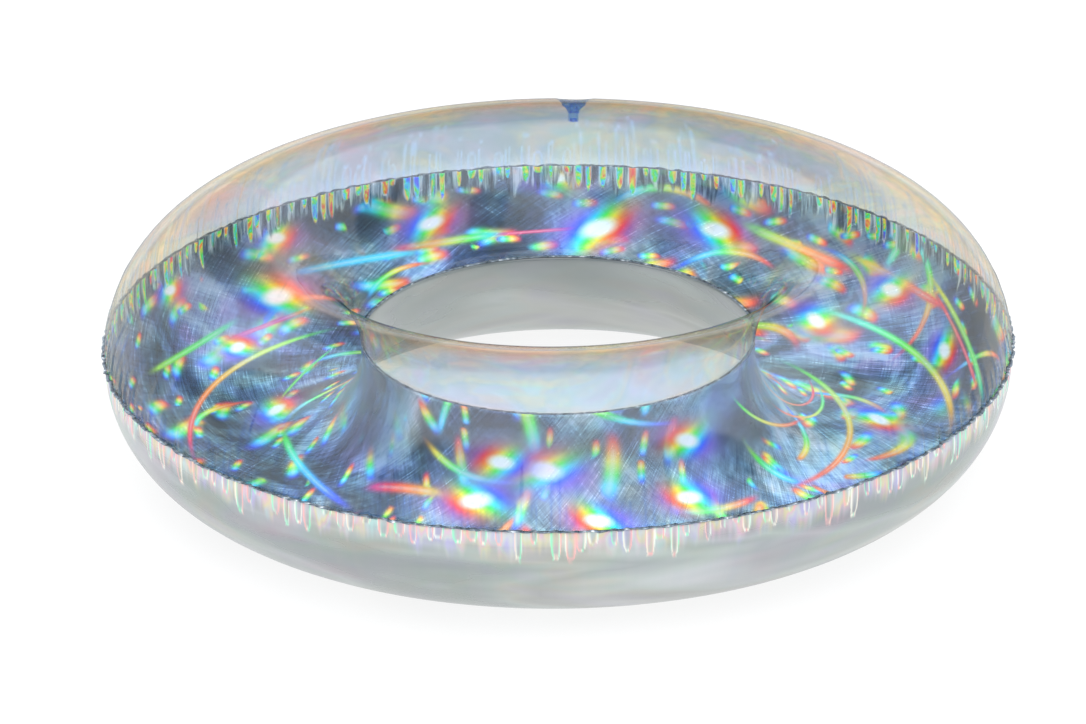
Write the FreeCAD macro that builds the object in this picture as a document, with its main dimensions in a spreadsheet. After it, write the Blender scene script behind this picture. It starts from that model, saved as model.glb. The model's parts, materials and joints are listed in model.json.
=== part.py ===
"""Inflatable swim ring of welded vinyl with a push-in oral inflation valve, as a parametric FreeCAD document.

Two ring-shaped sheets, a clear one above and a holographic one below, are welded to each other along an
outer and an inner seam. Air in the tube holds the shape, and the ring rests on a flattened strip.
The valve is welded under a hole near the crown of the clear sheet. Its cone folds inwards, so that the
stem hides in a funnel. A stopper on a short strap closes the stem, and a flap at its foot keeps the air in.

Frame: millimetres, +Z up, origin on the floor below the ring's centre, valve towards +Y.
Depths in the valve are measured from the clear sheet's surface, along the valve's leaning axis.
"""

import FreeCAD, Part
import math
import operator
import os

import Sketcher

DRIVING_SIZES = [
    ("outer_radius", 533.5, "outer edge of the outer seam"),
    ("inner_radius", 228.0, "inner edge of the inner seam"),
    ("outer_fin", 4.0, "width of the outer seam's welded fin"),
    ("inner_fin", 3.0, "width of the inner seam's welded fin"),
    ("sheet_wall", 0.4, "thickness of one vinyl sheet"),
    ("seam_level", 142.0, "height of both seams above the floor"),
    ("ring_height", 279.0, "height of the ring"),
    ("crown_radius", 383.8, "radius of the clear sheet's highest line"),
    ("strip_inner", 358.5, "inner radius of the strip that rests on the floor"),
    ("strip_outer", 402.0, "outer radius of the strip that rests on the floor"),
    ("valve_lean", 20.0, "lean of the valve's axis away from the ring's centre, in degrees"),
    ("valve_hole", 15.0, "radius of the hole in the clear sheet"),
    ("flange_radius", 22.3, "radius of the valve's welded flange"),
    ("flange_wall", 0.6, "thickness of the valve's flange"),
    ("rim_depth", 0.3, "depth of the cone's upper edge"),
    ("rim_foot", 2.7, "depth where the cone's straight rim ends"),
    ("cone_foot", 17.0, "depth where the cone meets the stem"),
    ("cone_wall", 0.8, "thickness of the cone"),
    ("grip_length", 1.8, "length of the cone's grip round the stem"),
    ("grip_gap", 0.15, "room between the cone's grip and the stem"),
    ("stem_radius", 6.3, "outer radius of the stem"),
    ("stem_bore", 4.6, "radius of the stem's bore"),
    ("mouth_depth", 4.0, "depth of the stem's mouth"),
    ("foot_depth", 29.0, "depth of the stem's foot"),
    ("lip_radius", 7.1, "outer radius of the lip at the mouth"),
    ("lip_height", 1.6, "height of the lip"),
    ("insert_bore", 3.9, "bore radius of the insert that carries the check flap"),
    ("insert_height", 4.0, "height of that insert"),
    ("flap_radius", 5.8, "radius of the check flap"),
    ("flap_wall", 0.5, "thickness of the check flap"),
    ("plug_radius", 4.52, "radius of the stopper's plug at the mouth"),
    ("plug_tip", 3.1, "radius of the plug's tip"),
    ("plug_length", 5.0, "length of the plug below the mouth"),
    ("cup_radius", 2.2, "radius of the recess in the stopper"),
    ("cup_depth", 5.0, "depth of that recess below the head's top"),
    ("head_radius", 7.6, "radius of the stopper's head"),
    ("head_height", 1.5, "height of the stopper's head"),
    ("tab_reach", 10.6, "distance of the pull tab's end from the valve's axis"),
    ("tab_width", 5.0, "width of the pull tab"),
    ("tab_height", 1.0, "height of the pull tab"),
    ("strap_reach", 8.9, "distance of the strap's bend from the valve's axis"),
    ("strap_width", 3.2, "width of the strap"),
    ("strap_wall", 0.7, "thickness of the strap"),
    ("strap_foot", 8.0, "depth where the strap joins the stem"),
    ("seat_gap", 0.05, "play between pieces that rest on each other and move apart"),
]
ARITHMETIC = {"+": operator.add, "-": operator.sub, "*": operator.mul, "/": operator.truediv}
HORIZONTAL_AXIS = -1
VERTICAL_AXIS = -2
SKETCH_ORIGIN = (-1, 1)
START, END, CENTRE = 1, 2, 3


class Size:
    """A number together with the spreadsheet expression that gives it."""

    def __init__(self, value, text):
        self.value = value
        self.text = text

    def joined(self, other, symbol):
        if not isinstance(other, Size):
            other = Size(other, str(other))
        return Size(ARITHMETIC[symbol](self.value, other.value), f"({self.text} {symbol} {other.text})")

    def __add__(self, other):
        return self.joined(other, "+")

    def __sub__(self, other):
        return self.joined(other, "-")

    def __mul__(self, other):
        return self.joined(other, "*")

    def __truediv__(self, other):
        return self.joined(other, "/")

    def __neg__(self):
        return Size(-self.value, f"(0 - {self.text})")


def spreadsheet(document):
    """The driving dimensions, one row each: what it is, its value and its alias."""
    sheet = document.addObject("Spreadsheet::Sheet", "dims")
    for row, (alias, value, meaning) in enumerate(DRIVING_SIZES, start=1):
        sheet.set(f"A{row}", meaning)
        sheet.set(f"B{row}", str(value))
        sheet.setAlias(f"B{row}", alias)
    document.recompute()
    return sheet


doc = FreeCAD.newDocument("swim_ring")
dims = spreadsheet(doc)


def size(alias):
    return Size(float(getattr(dims, alias)), f"dims.{alias}")


NOTHING = Size(0.0, "0")


class Profile:
    """A fully constrained closed sketch on a plane of its body, with its points bound to the sheet."""

    def __init__(self, name, body=None, plane="YZ_Plane"):
        self.name = name
        self.body = body or doc.addObject("PartDesign::Body", name + "_body")
        self.sketch = self.body.newObject("Sketcher::SketchObject", name + "_profile")
        support = next(f for f in self.body.Origin.OriginFeatures if f.Role == plane)
        self.sketch.AttachmentSupport = (support, [""])
        self.sketch.MapMode = "FlatFace"

    def outline(self, corners):
        """Draws the sides between corners. A corner is (x, y) before a straight side, or (x, y, centre_x)
        before a round one whose centre lies at centre_x."""
        sides = [self.side(a, b) for a, b in zip(corners, corners[1:] + corners[:1])]
        for (side, _, last), (after, first, _), corner in zip(
            sides, sides[1:] + sides[:1], corners[1:] + corners[:1]
        ):
            self.sketch.addConstraint(Sketcher.Constraint("Coincident", side, last, after, first))
            self.hold("DistanceX", side, last, corner[0])
            self.hold("DistanceY", side, last, corner[1])
        for (side, _, _), corner in zip(sides, corners):
            if len(corner) == 3:
                self.hold("DistanceX", side, CENTRE, corner[2])
        return self

    def side(self, corner, after):
        """Adds one side and returns its number with its first and last points' numbers."""
        (x0, y0), (x1, y1) = ((c[0].value, c[1].value) for c in (corner, after))
        if len(corner) == 2:
            straight = Part.LineSegment(FreeCAD.Vector(x0, y0, 0), FreeCAD.Vector(x1, y1, 0))
            return self.sketch.addGeometry(straight, False), START, END
        cx = corner[2].value
        cy = (y1**2 - y0**2 + (x1 - cx) ** 2 - (x0 - cx) ** 2) / (2 * (y1 - y0))
        circle = Part.Circle(FreeCAD.Vector(cx, cy, 0), FreeCAD.Vector(0, 0, 1), math.hypot(x0 - cx, y0 - cy))
        angles = [math.atan2(y - cy, x - cx) for x, y in ((x0, y0), (x1, y1))]
        anticlockwise = (angles[1] - angles[0]) % (2 * math.pi) < math.pi
        if not anticlockwise:
            angles.reverse()
        sweep = (angles[1] - angles[0]) % (2 * math.pi)
        arc = self.sketch.addGeometry(Part.ArcOfCircle(circle, angles[0], angles[0] + sweep), False)
        return (arc, START, END) if anticlockwise else (arc, END, START)

    def hold(self, kind, side, point, distance):
        """Keeps a point at a signed distance from the sketch's origin along one direction."""
        if abs(distance.value) < 1e-9:
            axis = VERTICAL_AXIS if kind == "DistanceX" else HORIZONTAL_AXIS
            self.sketch.addConstraint(Sketcher.Constraint("PointOnObject", side, point, axis))
            return
        ends = (*SKETCH_ORIGIN, side, point)
        if distance.value < 0:
            distance = -distance
            ends = (side, point, *SKETCH_ORIGIN)
        number = self.sketch.addConstraint(Sketcher.Constraint(kind, *ends, distance.value))
        self.sketch.setExpression(f"Constraints[{number}]", distance.text)

    def revolve(self):
        """Turns the profile once round its vertical axis."""
        turned = self.body.newObject("PartDesign::Revolution", self.name + "_turned")
        turned.Profile = self.sketch
        turned.ReferenceAxis = (self.sketch, ["V_Axis"])
        turned.Angle = 360
        return self.body

    def pad(self, width):
        """Thickens the profile by half the width to each side of its plane."""
        padded = self.body.newObject("PartDesign::Pad", self.name + "_padded")
        padded.Profile = self.sketch
        padded.Midplane = True
        padded.setExpression("Length", width.text)
        return self.body


# The two sheets and their seams

sheet_wall = size("sheet_wall")
weld_top = size("seam_level") + sheet_wall
weld_foot = size("seam_level") - sheet_wall
outer_weld = size("outer_radius") - size("outer_fin")
inner_weld = size("inner_radius") + size("inner_fin")


def clear_layer(name, depth, wall):
    """A layer of the upper half of the tube that starts at a depth below the clear sheet's surface.
    Its section is two arcs that meet level at the crown, and two more on its underside."""
    crown_radius = size("crown_radius")
    crown = size("ring_height") - depth
    outer = outer_weld - depth
    inner = inner_weld + depth
    section = [
        (outer, weld_top, crown_radius),
        (crown_radius, crown, crown_radius),
        (inner, weld_top),
        (inner + wall, weld_top, crown_radius),
        (crown_radius, crown - wall, crown_radius),
        (outer - wall, weld_top),
    ]
    return Profile(name).outline(section).revolve()


def holographic_sheet():
    """The lower sheet: an arc from each seam down to the flat strip that rests on the floor."""
    strip_outer = size("strip_outer")
    strip_inner = size("strip_inner")
    section = [
        (inner_weld, weld_foot, strip_inner),
        (strip_inner, NOTHING),
        (strip_outer, NOTHING, strip_outer),
        (outer_weld, weld_foot),
        (outer_weld - sheet_wall, weld_foot, strip_outer),
        (strip_outer, sheet_wall),
        (strip_inner, sheet_wall, strip_inner),
        (inner_weld + sheet_wall, weld_foot),
    ]
    return Profile("holographic").outline(section).revolve()


def seam(name, inside, outside):
    """A welded fin: both sheets fused to a flat band."""
    section = [(inside, weld_foot), (outside, weld_foot), (outside, weld_top), (inside, weld_top)]
    return Profile(name).outline(section).revolve()


# The valve's own frame: its origin lies on the clear sheet's surface and its Z axis is the valve's axis

lean = size("valve_lean").value
crown_run = (outer_weld - size("crown_radius")).value
crown_rise = (size("ring_height") - weld_top).value
crown_arc = (crown_run**2 + crown_rise**2) / (2 * crown_rise)
valve_seat = FreeCAD.Vector(
    0,
    size("crown_radius").value + crown_arc * math.sin(math.radians(lean)),
    size("ring_height").value - crown_arc * (1 - math.cos(math.radians(lean))),
)
valve_frame = FreeCAD.Placement(valve_seat, FreeCAD.Rotation(FreeCAD.Vector(1, 0, 0), -lean))


def bar(name, radius, depth, length):
    """A cylinder on the valve's axis whose foot lies at a depth below the clear sheet's surface."""
    cylinder = doc.addObject("Part::Cylinder", name)
    cylinder.setExpression("Radius", radius.text)
    cylinder.setExpression("Height", length.text)
    foot = FreeCAD.Placement(FreeCAD.Vector(0, 0, -depth.value), FreeCAD.Rotation())
    cylinder.Placement = valve_frame.multiply(foot)
    return cylinder


def combined(kind, name, base, tool):
    result = doc.addObject(kind, name)
    result.Base = base
    result.Tool = tool
    return result


def through_bar(name, radius):
    """A cylinder that passes right through the sheet and the flange."""
    return bar(name, radius, size("cone_foot"), size("cone_foot") * 2)


def clear_sheet():
    """The upper sheet, with a round hole for the valve."""
    blank = clear_layer("clear_blank", NOTHING, sheet_wall)
    return combined("Part::Cut", "clear_pierced", blank, through_bar("sheet_hole", size("valve_hole")))


def flange():
    """A washer that follows the sheet's underside."""
    disc = through_bar("flange_disc", size("flange_radius"))
    washer = combined("Part::Cut", "washer", disc, through_bar("flange_hole", size("valve_hole")))
    return combined("Part::Common", "fitted_washer", clear_layer("flange", sheet_wall, size("flange_wall")), washer)


def cone():
    """The flexible cone: a straight rim in the sheet's hole, a slanting wall and a grip round the stem."""
    wall = size("cone_wall")
    rim = size("valve_hole")
    grip = size("stem_radius") + size("grip_gap")
    grip_foot = -size("cone_foot") - size("grip_length")
    section = [
        (rim - wall, -size("rim_depth")),
        (rim, -size("rim_depth")),
        (rim, -size("rim_foot")),
        (grip + wall, -size("cone_foot")),
        (grip + wall, grip_foot),
        (grip, grip_foot),
        (grip, -size("cone_foot") + wall),
        (rim - wall, -size("rim_foot") + wall / 2),
    ]
    return Profile("cone").outline(section).revolve()


def stem():
    """The tube that is blown into, with a lip round its mouth."""
    mouth = -size("mouth_depth")
    lip_foot = mouth - size("lip_height")
    bevel = (size("lip_radius") - size("stem_radius")) / 2
    section = [
        (size("stem_bore"), -size("foot_depth")),
        (size("stem_radius"), -size("foot_depth")),
        (size("stem_radius"), lip_foot),
        (size("lip_radius"), lip_foot + bevel),
        (size("lip_radius"), mouth - bevel),
        (size("lip_radius") - bevel, mouth),
        (size("stem_bore"), mouth),
    ]
    return Profile("stem").outline(section).revolve()


def insert():
    """The sleeve in the stem's foot that carries the check flap."""
    foot = -size("foot_depth")
    top = foot + size("insert_height")
    bore = size("insert_bore")
    outside = size("stem_bore")
    return Profile("insert").outline([(bore, foot), (outside, foot), (outside, top), (bore, top)]).revolve()


def flap():
    """The disc that lies against the stem's foot from below."""
    depth = size("foot_depth") + size("seat_gap") + size("flap_wall")
    return bar("flap", size("flap_radius"), depth, size("flap_wall"))


def stopper():
    """A tapered plug with a cupped head and a pull tab, resting on the stem's mouth."""
    seat = -size("mouth_depth") + size("seat_gap")
    top = seat + size("head_height")
    bevel = size("head_height") / 4
    cup_floor = top - size("cup_depth")
    section = [
        (NOTHING, seat - size("plug_length")),
        (size("plug_tip"), seat - size("plug_length")),
        (size("plug_radius"), seat),
        (size("head_radius"), seat),
        (size("head_radius"), top - bevel),
        (size("head_radius") - bevel, top),
        (size("cup_radius"), top),
        (size("cup_radius"), cup_floor),
        (NOTHING, cup_floor),
    ]
    body = Profile("plug").outline(section).revolve()
    root = -size("plug_radius")
    end = -size("tab_reach")
    tab_top = seat + size("tab_height")
    tab = [(end, seat), (root, seat), (root, tab_top), (end, tab_top)]
    return Profile("tab", body).outline(tab).pad(size("tab_width"))


def strap():
    """The strip that leads from the stopper's head over a bend down to the stem."""
    half = size("strap_wall") / 2
    arm = -size("mouth_depth") + size("seat_gap") + size("head_height") / 2
    foot = -size("strap_foot")
    bend = size("strap_reach")
    head_edge = size("head_radius") + size("grip_gap")
    strip = [
        (head_edge, arm - half),
        (bend - half, arm - half),
        (bend - half, foot + half),
        (size("stem_radius"), foot + half),
        (size("stem_radius"), foot - half),
        (bend + half, foot - half),
        (bend + half, arm + half),
        (head_edge, arm + half),
    ]
    return Profile("strap").outline(strip).pad(size("strap_width"))


parts = []


def keep(feature, label, placement=None):
    """Makes a feature a sub-part, whose label names its node."""
    feature.Label = label
    if placement is not None:
        feature.Placement = placement
    parts.append(feature)


keep(clear_sheet(), "top_sheet")
keep(holographic_sheet(), "bottom_sheet")
keep(seam("outer_fin", outer_weld - sheet_wall, size("outer_radius")), "outer_seam")
keep(seam("inner_fin", size("inner_radius"), inner_weld + sheet_wall), "inner_seam")
keep(flange(), "valve_flange")
keep(cone(), "valve_cone", valve_frame)
keep(stem(), "valve_stem", valve_frame)
keep(insert(), "check_valve_insert", valve_frame)
keep(flap(), "check_flap")
keep(stopper(), "stopper", valve_frame)
keep(strap(), "stopper_strap", valve_frame)
doc.recompute()

for item in doc.Objects:
    if "Invalid" in item.State or "Error" in item.State:
        raise RuntimeError(f"{item.Name} did not compute: {item.State}")
for part in parts:
    shape = part.Shape
    if shape.isNull() or not shape.isValid() or len(shape.Solids) != 1:
        raise RuntimeError(f"{part.Label} is not one valid solid")

os.makedirs("parts", exist_ok=True)
for part in parts:
    part.Shape.exportStep(f"parts/{part.Label}.step")
    box = part.Shape.optimalBoundingBox(False)
    print(
        f"{part.Label:20s} volume {part.Shape.Volume:12.1f}  x {box.XMin:8.2f} {box.XMax:8.2f}"
        f"  y {box.YMin:8.2f} {box.YMax:8.2f}  z {box.ZMin:8.2f} {box.ZMax:8.2f}"
    )
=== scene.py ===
"""Looks of the inflatable swim ring: pleated clear and holographic sheets, welded seams and the blue valve.

Everything is in metres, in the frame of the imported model: +Z up, floor at z = 0, valve towards +Y.
"""

import json
import math
import random
from functools import partialmethod

import bmesh
import bpy
import numpy as np
from mathutils import Matrix, Vector


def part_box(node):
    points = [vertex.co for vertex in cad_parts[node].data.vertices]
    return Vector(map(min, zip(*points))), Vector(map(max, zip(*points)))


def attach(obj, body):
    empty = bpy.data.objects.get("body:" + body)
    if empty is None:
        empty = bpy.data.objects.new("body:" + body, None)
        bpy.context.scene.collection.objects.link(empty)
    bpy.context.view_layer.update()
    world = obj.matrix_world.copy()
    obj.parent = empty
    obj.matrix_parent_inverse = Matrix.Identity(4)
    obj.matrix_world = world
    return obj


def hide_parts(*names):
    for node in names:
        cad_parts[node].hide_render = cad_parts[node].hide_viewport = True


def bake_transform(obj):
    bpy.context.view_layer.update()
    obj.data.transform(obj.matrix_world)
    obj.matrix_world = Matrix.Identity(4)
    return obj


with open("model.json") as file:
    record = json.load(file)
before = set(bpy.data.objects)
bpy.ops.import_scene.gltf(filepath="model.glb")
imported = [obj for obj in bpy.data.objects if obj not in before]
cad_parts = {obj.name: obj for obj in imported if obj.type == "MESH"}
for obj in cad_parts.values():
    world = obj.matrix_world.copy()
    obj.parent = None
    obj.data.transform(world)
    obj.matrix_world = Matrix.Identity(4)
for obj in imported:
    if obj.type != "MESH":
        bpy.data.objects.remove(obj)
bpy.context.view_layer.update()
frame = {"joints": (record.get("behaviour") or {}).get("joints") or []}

MM = 0.001
WALL = 0.4 * MM
OUTER_FIN = 4.0 * MM
INNER_FIN = 3.0 * MM
CROWN_RADIUS = 383.8 * MM
STRIP_INNER = 358.5 * MM
STRIP_OUTER = 402.0 * MM

fin_low, fin_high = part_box("outer_seam")
OUTER_RADIUS = fin_high[0]
OUTER_WELD = OUTER_RADIUS - OUTER_FIN
INNER_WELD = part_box("inner_seam")[1][0] - WALL
WELD_TOP = fin_high[2]
WELD_FOOT = fin_low[2]
SEAM_LEVEL = (WELD_TOP + WELD_FOOT) / 2
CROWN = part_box("top_sheet")[1][2]


# Sections of the tube

class Arc:
    """A circular stretch of a section between two points, with its centre at a known radius."""

    def __init__(self, start, end, centre_r):
        (r0, z0), (r1, z1) = start, end
        self.centre_r = centre_r
        self.centre_z = (z1**2 - z0**2 + (r1 - centre_r) ** 2 - (r0 - centre_r) ** 2) / (2 * (z1 - z0))
        self.radius = math.hypot(r0 - centre_r, z0 - self.centre_z)
        self.first = math.atan2(z0 - self.centre_z, r0 - centre_r)
        turn = math.atan2(z1 - self.centre_z, r1 - centre_r) - self.first
        self.turn = (turn + math.pi) % (2 * math.pi) - math.pi
        self.length = abs(self.turn) * self.radius

    def at(self, distance):
        """Radius, height and outward normal at a distance along the arc."""
        angle = self.first + self.turn * distance / self.length
        normal = (math.cos(angle), math.sin(angle))
        return (self.centre_r + self.radius * normal[0], self.centre_z + self.radius * normal[1], *normal)


class Strip:
    """The flat stretch that rests on the floor."""

    def __init__(self, start_r, end_r):
        self.start_r = start_r
        self.length = abs(end_r - start_r)
        self.sign = math.copysign(1, end_r - start_r)

    def at(self, distance):
        return (self.start_r + self.sign * distance, 0.0, 0.0, -1.0)


class Section:
    """A run of stretches from the outer weld to the inner one."""

    def __init__(self, *stretches):
        self.stretches = stretches
        self.length = sum(stretch.length for stretch in stretches)

    def at(self, distance):
        for stretch in self.stretches[:-1]:
            if distance <= stretch.length:
                return stretch.at(distance)
            distance -= stretch.length
        return self.stretches[-1].at(distance)


upper_section = Section(
    Arc((OUTER_WELD, WELD_TOP), (CROWN_RADIUS, CROWN), CROWN_RADIUS),
    Arc((CROWN_RADIUS, CROWN), (INNER_WELD, WELD_TOP), CROWN_RADIUS),
)
lower_section = Section(
    Arc((OUTER_WELD, WELD_FOOT), (STRIP_OUTER, 0.0), STRIP_OUTER),
    Strip(STRIP_OUTER, STRIP_INNER),
    Arc((STRIP_INNER, 0.0), (INNER_WELD, WELD_FOOT), STRIP_INNER),
)


# Pleats gather along the outer seam, because the flat sheets' edge is too long for the inflated ring

class Pleats:
    """Tongue-shaped folds that point away from the outer seam, at uneven spacing."""

    def __init__(self, seed, spacing, half_width, length, depth):
        draw = random.Random(seed)
        count = round(2 * math.pi * OUTER_WELD / spacing)
        self.angle, self.width, self.length, self.depth = np.array([(
            2 * math.pi * (number + draw.uniform(-0.38, 0.38)) / count,
            draw.uniform(*half_width),
            draw.uniform(*length) * draw.choice((1.0, 1.0, 0.55)),
            draw.uniform(*depth) * draw.choice((1.0, 1.0, -0.5)),
        ) for number in range(count)]).T

    def fold(self, theta, distance, reach=1.0):
        """Inward displacement and outline of the folds at angles and one distance from the seam."""
        share = np.clip(1 - distance / (self.length * reach), 0, 1)
        width = self.width * (1 - (1 - share) ** 3) ** 0.5 + 1e-9
        across = (theta[:, None] - self.angle + math.pi) % (2 * math.pi) - math.pi
        across = np.clip(across * OUTER_WELD / width, -1, 1)
        tongue = (1 - across**2) ** 2 * (1 - (1 - share) ** 4)
        outline = across**4 * (1 - across**2) * 6.75
        foot = np.clip(1 - np.abs(share - 0.10) / 0.09, 0, 1) * (np.abs(across) < 1)
        edge = np.maximum(outline, foot) * (share > 0)
        return (tongue * self.depth).sum(axis=1), np.clip(edge.max(axis=1), 0, 1)


large_pleats = Pleats(seed=11, spacing=17 * MM, half_width=(3.4 * MM, 7.2 * MM), length=(13 * MM, 40 * MM),
                      depth=(0.9 * MM, 2.6 * MM))
small_pleats = Pleats(seed=5, spacing=8 * MM, half_width=(1.5 * MM, 3.4 * MM), length=(5 * MM, 11 * MM),
                      depth=(0.3 * MM, 1.3 * MM))
DEEPEST_FOLD = large_pleats.depth.max()


# Mesh building

def new_object(name, vertices, faces, materials, face_slots=None):
    mesh = bpy.data.meshes.new(name)
    mesh.from_pydata([tuple(v) for v in vertices], [], faces)
    for material in materials:
        mesh.materials.append(material)
    if face_slots is not None:
        mesh.polygons.foreach_set("material_index", face_slots)
    mesh.polygons.foreach_set("use_smooth", [True] * len(faces))
    mesh.update()
    made = bpy.data.objects.new(name, mesh)
    bpy.context.scene.collection.objects.link(made)
    return made


def point_attribute(made, name, values):
    layer = made.data.attributes.new(name, "FLOAT", "POINT")
    layer.data.foreach_set("value", np.asarray(values, np.float32))


def angles(count):
    return np.arange(count) * (2 * math.pi / count)


def row_joints(first, first_count, second, second_count):
    """Faces between two closed rows whose counts are equal or differ by a factor of two."""
    if first_count < second_count:
        return [tuple(reversed(f)) for f in row_joints(second, second_count, first, first_count)]
    faces = []
    step = first_count // second_count
    for i in range(second_count):
        after = (i + 1) % second_count
        near = [first + (i * step + k) % first_count for k in range(step + 1)]
        faces.append((second + after, second + i, *near))
    return faces


def skin(rows, count, closed=True):
    """Faces over rows of points. The last row joins the first, or else both end rows are capped."""
    faces = []
    for k in range(rows if closed else rows - 1):
        faces += row_joints(k * count, count, (k + 1) % rows * count, count)
    if not closed:
        last = (rows - 1) * count
        faces += [tuple(range(count)), tuple(range(last, last + count))]
    return faces


def distances(total, fine_edge, fine_step, coarse_step):
    """Distances of a sheet's rows from the outer seam: close together at first, then further apart."""
    rows = list(np.arange(0, fine_edge, fine_step))
    gap = fine_step
    while rows[-1] + gap < total - coarse_step / 2:
        gap = min(gap * 1.3, coarse_step)
        rows.append(rows[-1] + gap)
    return [row for row in rows if row < total - coarse_step / 3] + [total]


class Sheet:
    """A closed thin shell over a section: an outer and an inner layer, joined at both seams."""

    def __init__(self, surface, rows, counts):
        self.surface = surface
        self.rows = rows
        self.counts = counts
        self.starts = [[], []]
        self.vertices, self.folds, self.steeps = [], [], []
        self.faces, self.slots = [], []

    def build(self, hole=None):
        for layer, inset in enumerate((0.0, WALL)):
            for row, count in zip(self.rows, self.counts):
                self.starts[layer].append(self.place(angles(count), row, inset))
        for layer in (0, 1):
            starts = self.starts[layer]
            for k in range(len(self.rows) - 1):
                faces = row_joints(starts[k], self.counts[k], starts[k + 1], self.counts[k + 1])
                if hole is not None and hole.rows[0] <= k < hole.rows[1]:
                    faces = [f for i, f in enumerate(faces) if not hole.columns[0] <= i < hole.columns[1]]
                self.add(faces, layer)
        for k, flip in ((0, False), (len(self.rows) - 1, True)):
            rim = row_joints(self.starts[1][k], self.counts[k], self.starts[0][k], self.counts[k])
            self.add([tuple(reversed(f)) for f in rim] if flip else rim, 0)
        if hole is not None:
            hole.fill(self)
        return self

    def place(self, theta, distance, inset):
        """Adds points at one distance from the outer seam, and returns the number of the first."""
        first = len(self.vertices)
        points, fold, steep = self.surface(theta, distance, inset)
        self.vertices.extend(points)
        self.folds.extend(fold)
        self.steeps.extend(steep)
        return first

    def add(self, faces, layer):
        if layer == 1:
            faces = [tuple(reversed(f)) for f in faces]
        self.faces.extend(faces)
        self.slots.extend([layer] * len(faces))

    def make(self, name, outside, front, back):
        """The finished mesh. Its inner layer has one material on the front half and one on the back half."""
        slots = [
            2 if layer and self.vertices[face[0]][1] > 0 else layer
            for layer, face in zip(self.slots, self.faces)
        ]
        made = new_object(name, self.vertices, self.faces, (outside, front, back), slots)
        point_attribute(made, "fold", self.folds)
        point_attribute(made, "steep", self.steeps)
        return made


# The valve's seat on the clear sheet

pop_axis = Vector(next(joint["axis"] for joint in frame["joints"] if joint["name"] == "valve_pop"))
LEAN = math.atan2(pop_axis.y, pop_axis.z)
HOLE_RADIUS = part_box("valve_cone")[1][0]
outer_arc = upper_section.stretches[0]
SEAT_DISTANCE = (math.pi / 2 - LEAN - outer_arc.first) * outer_arc.radius
seat_radius, seat_level, _, _ = outer_arc.at(SEAT_DISTANCE)
valve_frame = Matrix.Translation((0, seat_radius, seat_level)) @ Matrix.Rotation(-LEAN, 4, "X")
DIMPLE_DEPTH = 13.0 * MM
DIMPLE_SPREAD = 16.0 * MM


def dimple(away):
    """How deep the sheet is drawn in at a distance from the valve's middle."""
    return DIMPLE_DEPTH * np.exp(-((away / DIMPLE_SPREAD) ** 4))


def clear_surface(theta, distance, inset):
    """The clear sheet: pleated at the outer seam and drawn in a little round the valve."""
    away = np.hypot((theta - math.pi / 2) * seat_radius, distance - SEAT_DISTANCE)
    return pleated(upper_section, theta, distance, inset + dimple(away), reach=2.3)


def holographic_surface(theta, distance, inset):
    return pleated(lower_section, theta, distance, inset, reach=1.0)


def pleated(section, theta, distance, inset, reach):
    """Points of a section, pushed in by the pleats near the outer seam, with the folds' depth and edges."""
    radius, level, normal_r, normal_z = section.at(distance)
    depth, steep = large_pleats.fold(theta, distance, reach)
    nick, _ = small_pleats.fold(theta, distance, reach)
    sink = depth + nick + inset
    r = radius - normal_r * sink
    z = level - normal_z * sink
    return np.column_stack((r * np.cos(theta), r * np.sin(theta), z)), depth / DEEPEST_FOLD, steep


class ValveHole:
    """A round hole in the clear sheet: a patch of the grid gives way to rings of faces."""

    HALF_PATCH = 27 * MM
    RINGS = 7

    def __init__(self, rows, counts):
        inside = [k for k, row in enumerate(rows) if abs(row - SEAT_DISTANCE) < self.HALF_PATCH]
        self.rows = (inside[0], inside[-1])
        count = counts[inside[0]]
        half = round(self.HALF_PATCH / seat_radius / (2 * math.pi) * count)
        self.columns = (count // 4 - half, count // 4 + half)
        self.count = count

    def border(self):
        """Row and column numbers round the patch."""
        (top, foot), (left, right) = self.rows, self.columns
        return [
            *((top, c) for c in range(left, right)),
            *((k, right) for k in range(top, foot)),
            *((foot, c) for c in range(right, left, -1)),
            *((k, left) for k in range(foot, top, -1)),
        ]

    def fill(self, sheet):
        border = self.border()
        edges = []
        for layer, inset in enumerate((0.0, WALL)):
            loop = [sheet.starts[layer][k] + c for k, c in border]
            for ring in range(1, self.RINGS + 1):
                share = ring / self.RINGS
                inner = []
                for k, c in border:
                    theta = 2 * math.pi * c / self.count
                    x = (theta - math.pi / 2) * seat_radius
                    y = sheet.rows[k] - SEAT_DISTANCE
                    pull = (1 - share) + share * HOLE_RADIUS / math.hypot(x, y)
                    spot = np.array([math.pi / 2 + x * pull / seat_radius])
                    inner.append(sheet.place(spot, SEAT_DISTANCE + y * pull, inset))
                sheet.add(between(loop, inner), layer)
                loop = inner
            edges.append(loop)
        sheet.add(between(edges[0], edges[1]), 0)


def between(first, second):
    """Quads between two closed loops of the same length."""
    return [(first[i], first[i - 1], second[i - 1], second[i]) for i in range(len(first))]


def outward(made):
    """Turns every face of a closed mesh outwards."""
    mesh = bmesh.new()
    mesh.from_mesh(made.data)
    bmesh.ops.recalc_face_normals(mesh, faces=mesh.faces)
    mesh.to_mesh(made.data)
    mesh.free()
    return made


# Shader networks, written as arithmetic on their sockets

def feed(tree, slot, value):
    """Links an input of a node, or sets it; a colour of three numbers is opaque."""
    if isinstance(value, Signal):
        value = value.socket
    if isinstance(value, bpy.types.NodeSocket):
        tree.links.new(value, slot)
    elif isinstance(value, tuple) and len(value) == 3:
        slot.default_value = (*value, 1.0)
    else:
        slot.default_value = value


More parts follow.
